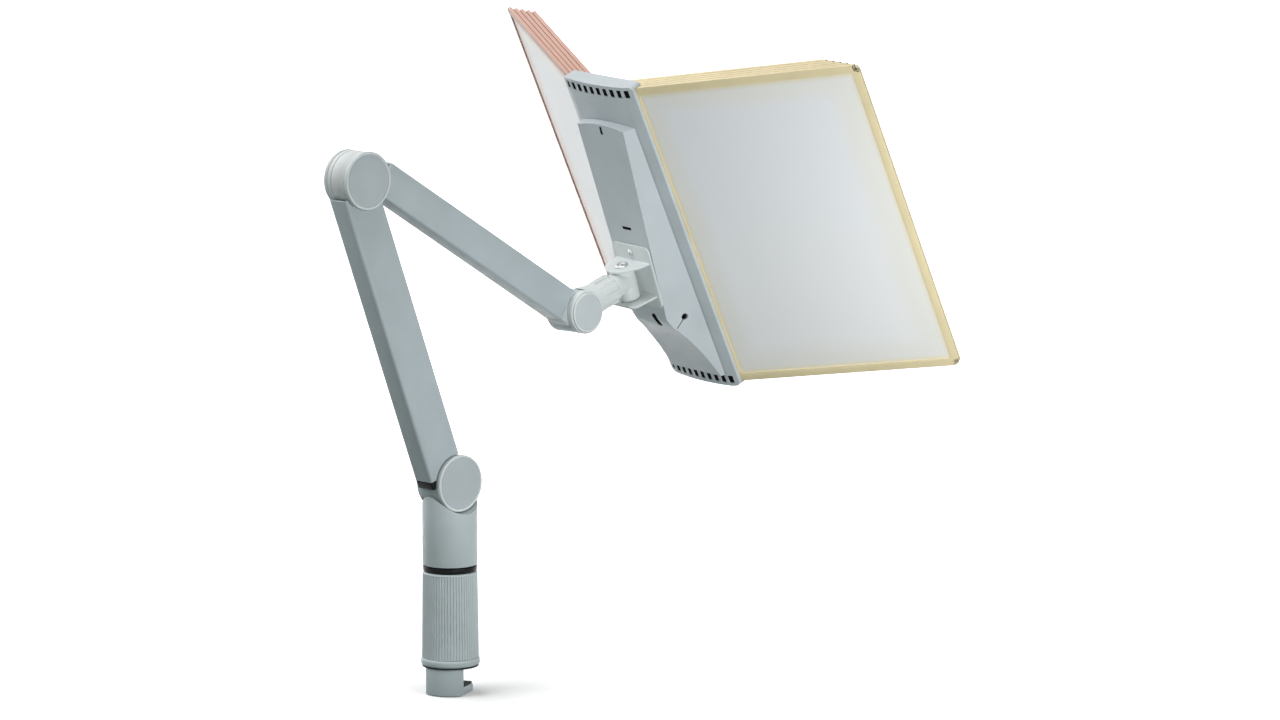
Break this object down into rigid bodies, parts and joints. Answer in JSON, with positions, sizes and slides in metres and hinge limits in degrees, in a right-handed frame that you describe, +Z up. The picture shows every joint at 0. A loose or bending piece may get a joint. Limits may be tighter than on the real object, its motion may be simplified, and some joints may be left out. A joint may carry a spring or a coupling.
{
  "type": "clamp-on display panel holder",
  "caption": "Desk-edge clamp with a swivel post, a jointed friction arm and a tilting spine that carries framed document leaves which turn like the pages of a book.",
  "frame": {"origin": "centre of the clamp foot on the desk top, under the post axis", "axes": "+X along the desk edge, +Y over the desk away from the edge, +Z up along the post"},
  "size_m": [0.5032, 0.6194, 0.5909],
  "materials": {
    "grey_plastic": "fine-textured light grey moulding",
    "grey_paint": "light grey powder coat on extruded tube",
    "light_plastic": "smooth pale grey moulding",
    "white_paint": "pale coated sheet steel",
    "black_plastic": "black ring and trim",
    "rubber": "black grip rubber",
    "steel": "plain turned steel",
    "nylon": "natural nylon",
    "salmon_frame": "salmon moulded frame",
    "yellow_frame": "pale yellow moulded frame",
    "pocket_film": "frosted clear film"
  },
  "bodies": {
    "base": {"base_pad": "rubber", "base_ring": "grey_plastic", "post_column": "steel", "swivel_ring": "black_plastic"},
    "sleeve": {"clamp_sleeve": "grey_plastic"},
    "jaw": {"clamp_bracket": "grey_plastic", "jaw_pad": "rubber", "carriage_nut": "nylon", "carriage_screw": "steel"},
    "swivel": {"swivel_post": "grey_plastic", "swivel_bush": "nylon", "shoulder_bush": "nylon"},
    "lower_arm": {"lower_arm_tube": "grey_paint", "lower_arm_end_trim": "black_plastic", "lower_arm_foot_fork": "grey_plastic", "lower_arm_elbow_fork": "grey_plastic", "shoulder_bolt": "steel", "shoulder_nut": "steel", "shoulder_cap_left": "light_plastic", "shoulder_cap_right": "light_plastic", "elbow_bolt": "steel", "elbow_nut": "steel", "elbow_cap_left": "light_plastic", "elbow_cap_right": "light_plastic"},
    "upper_arm": {"upper_arm_tube": "grey_paint", "upper_arm_elbow_knuckle": "grey_plastic", "upper_arm_head_knuckle": "grey_plastic", "elbow_bush": "nylon"},
    "neck": {"neck_fork": "light_plastic", "tilt_bolt": "steel", "tilt_cap_left": "light_plastic", "tilt_cap_right": "light_plastic", "roll_screw": "steel"},
    "knuckle": {"roll_knuckle": "light_plastic"},
    "holder": {"clevis_bracket": "white_paint", "clevis_pin": "steel", "clevis_screw_upper": "steel", "clevis_screw_lower": "steel", "spine_shell": "grey_plastic", "spine_cover": "grey_plastic"},
    "leaf_01": {"leaf_01_frame": "salmon_frame", "leaf_01_pocket": "pocket_film"},
    "leaf_02": {"leaf_02_frame": "salmon_frame", "leaf_02_pocket": "pocket_film"},
    "leaf_03": {"leaf_03_frame": "salmon_frame", "leaf_03_pocket": "pocket_film"},
    "leaf_04": {"leaf_04_frame": "salmon_frame", "leaf_04_pocket": "pocket_film"},
    "leaf_05": {"leaf_05_frame": "salmon_frame", "leaf_05_pocket": "pocket_film"},
    "leaf_06": {"leaf_06_frame": "yellow_frame", "leaf_06_pocket": "pocket_film"},
    "leaf_07": {"leaf_07_frame": "yellow_frame", "leaf_07_pocket": "pocket_film"},
    "leaf_08": {"leaf_08_frame": "yellow_frame", "leaf_08_pocket": "pocket_film"},
    "leaf_09": {"leaf_09_frame": "yellow_frame", "leaf_09_pocket": "pocket_film"},
    "leaf_10": {"leaf_10_frame": "yellow_frame", "leaf_10_pocket": "pocket_film"}
  },
  "joints": [
    {"name": "sleeve_turn", "type": "hinge", "parent": "base", "child": "sleeve", "pos_m": [0, 0, 0.05], "axis": [0, 0, 1], "range_deg": [-450, 1800]},
    {"name": "jaw_slide", "type": "slide", "parent": "base", "child": "jaw", "axis": [0, 0, 1], "range_m": [-0.02, 0.005]},
    {"name": "post_swivel", "type": "hinge", "parent": "base", "child": "swivel", "pos_m": [0, 0, 0.11], "axis": [0, 0, 1], "range_deg": [-180, 180]},
    {"name": "shoulder_tilt", "type": "hinge", "parent": "swivel", "child": "lower_arm", "pos_m": [0, 0, 0.168], "axis": [0.9003, -0.4352, 0], "range_deg": [-60, 10]},
    {"name": "elbow_fold", "type": "hinge", "parent": "lower_arm", "child": "upper_arm", "pos_m": [-0.04652, -0.09623, 0.44938], "axis": [0.9003, -0.4352, 0], "range_deg": [-1, 120]},
    {"name": "head_tilt", "type": "hinge", "parent": "upper_arm", "child": "neck", "pos_m": [0.06729, 0.1392, 0.30858], "axis": [-0.9003, 0.4352, 0], "range_deg": [-30, 45]},
    {"name": "neck_roll", "type": "hinge", "parent": "neck", "child": "knuckle", "pos_m": [0.06729, 0.1392, 0.30858], "axis": [0.4105, 0.8492, 0.3322], "range_deg": [-90, 90]},
    {"name": "clevis_swing", "type": "hinge", "parent": "knuckle", "child": "holder", "pos_m": [0.09541, 0.19737, 0.33133], "axis": [-0.1446, -0.2991, 0.9432], "range_deg": [-33, 46]},
    {"name": "leaf_05_turn", "type": "hinge", "parent": "holder", "child": "leaf_05", "pos_m": [0.11025, 0.22707, 0.37559], "axis": [0.1989, 0.383, -0.9021], "range_deg": [0, 60]},
    {"name": "leaf_06_turn", "type": "hinge", "parent": "holder", "child": "leaf_06", "pos_m": [0.11848, 0.22192, 0.37522], "axis": [-0.1989, -0.383, 0.9021], "range_deg": [0, 60]},
    {"name": "leaf_04_turn", "type": "hinge", "parent": "holder", "child": "leaf_04", "pos_m": [0.10201, 0.23222, 0.37596], "axis": [0.1989, 0.383, -0.9021], "range_deg": [0, 48]},
    {"name": "leaf_03_turn", "type": "hinge", "parent": "holder", "child": "leaf_03", "pos_m": [0.09378, 0.23737, 0.37633], "axis": [0.1989, 0.383, -0.9021], "range_deg": [0, 36]},
    {"name": "leaf_02_turn", "type": "hinge", "parent": "holder", "child": "leaf_02", "pos_m": [0.08554, 0.24252, 0.3767], "axis": [0.1989, 0.383, -0.9021], "range_deg": [0, 24]},
    {"name": "leaf_01_turn", "type": "hinge", "parent": "holder", "child": "leaf_01", "pos_m": [0.07731, 0.24767, 0.37707], "axis": [0.1989, 0.383, -0.9021], "range_deg": [0, 12]},
    {"name": "leaf_07_turn", "type": "hinge", "parent": "holder", "child": "leaf_07", "pos_m": [0.12671, 0.21676, 0.37485], "axis": [-0.1989, -0.383, 0.9021], "range_deg": [0, 48]},
    {"name": "leaf_08_turn", "type": "hinge", "parent": "holder", "child": "leaf_08", "pos_m": [0.13495, 0.21161, 0.37448], "axis": [-0.1989, -0.383, 0.9021], "range_deg": [0, 36]},
    {"name": "leaf_09_turn", "type": "hinge", "parent": "holder", "child": "leaf_09", "pos_m": [0.14318, 0.20646, 0.37411], "axis": [-0.1989, -0.383, 0.9021], "range_deg": [0, 24]},
    {"name": "leaf_10_turn", "type": "hinge", "parent": "holder", "child": "leaf_10", "pos_m": [0.15142, 0.20131, 0.37373], "axis": [-0.1989, -0.383, 0.9021], "range_deg": [0, 12]}
  ],
  "couplings": [
    {"joint": "sleeve_turn", "follows": "jaw_slide", "rad_per_m": -1570.8},
    {"joint": "leaf_04_turn", "follows": "leaf_05_turn", "ratio": 0.8},
    {"joint": "leaf_03_turn", "follows": "leaf_05_turn", "ratio": 0.6},
    {"joint": "leaf_02_turn", "follows": "leaf_05_turn", "ratio": 0.4},
    {"joint": "leaf_01_turn", "follows": "leaf_05_turn", "ratio": 0.2},
    {"joint": "leaf_07_turn", "follows": "leaf_06_turn", "ratio": 0.8},
    {"joint": "leaf_08_turn", "follows": "leaf_06_turn", "ratio": 0.6},
    {"joint": "leaf_09_turn", "follows": "leaf_06_turn", "ratio": 0.4},
    {"joint": "leaf_10_turn", "follows": "leaf_06_turn", "ratio": 0.2}
  ]
}
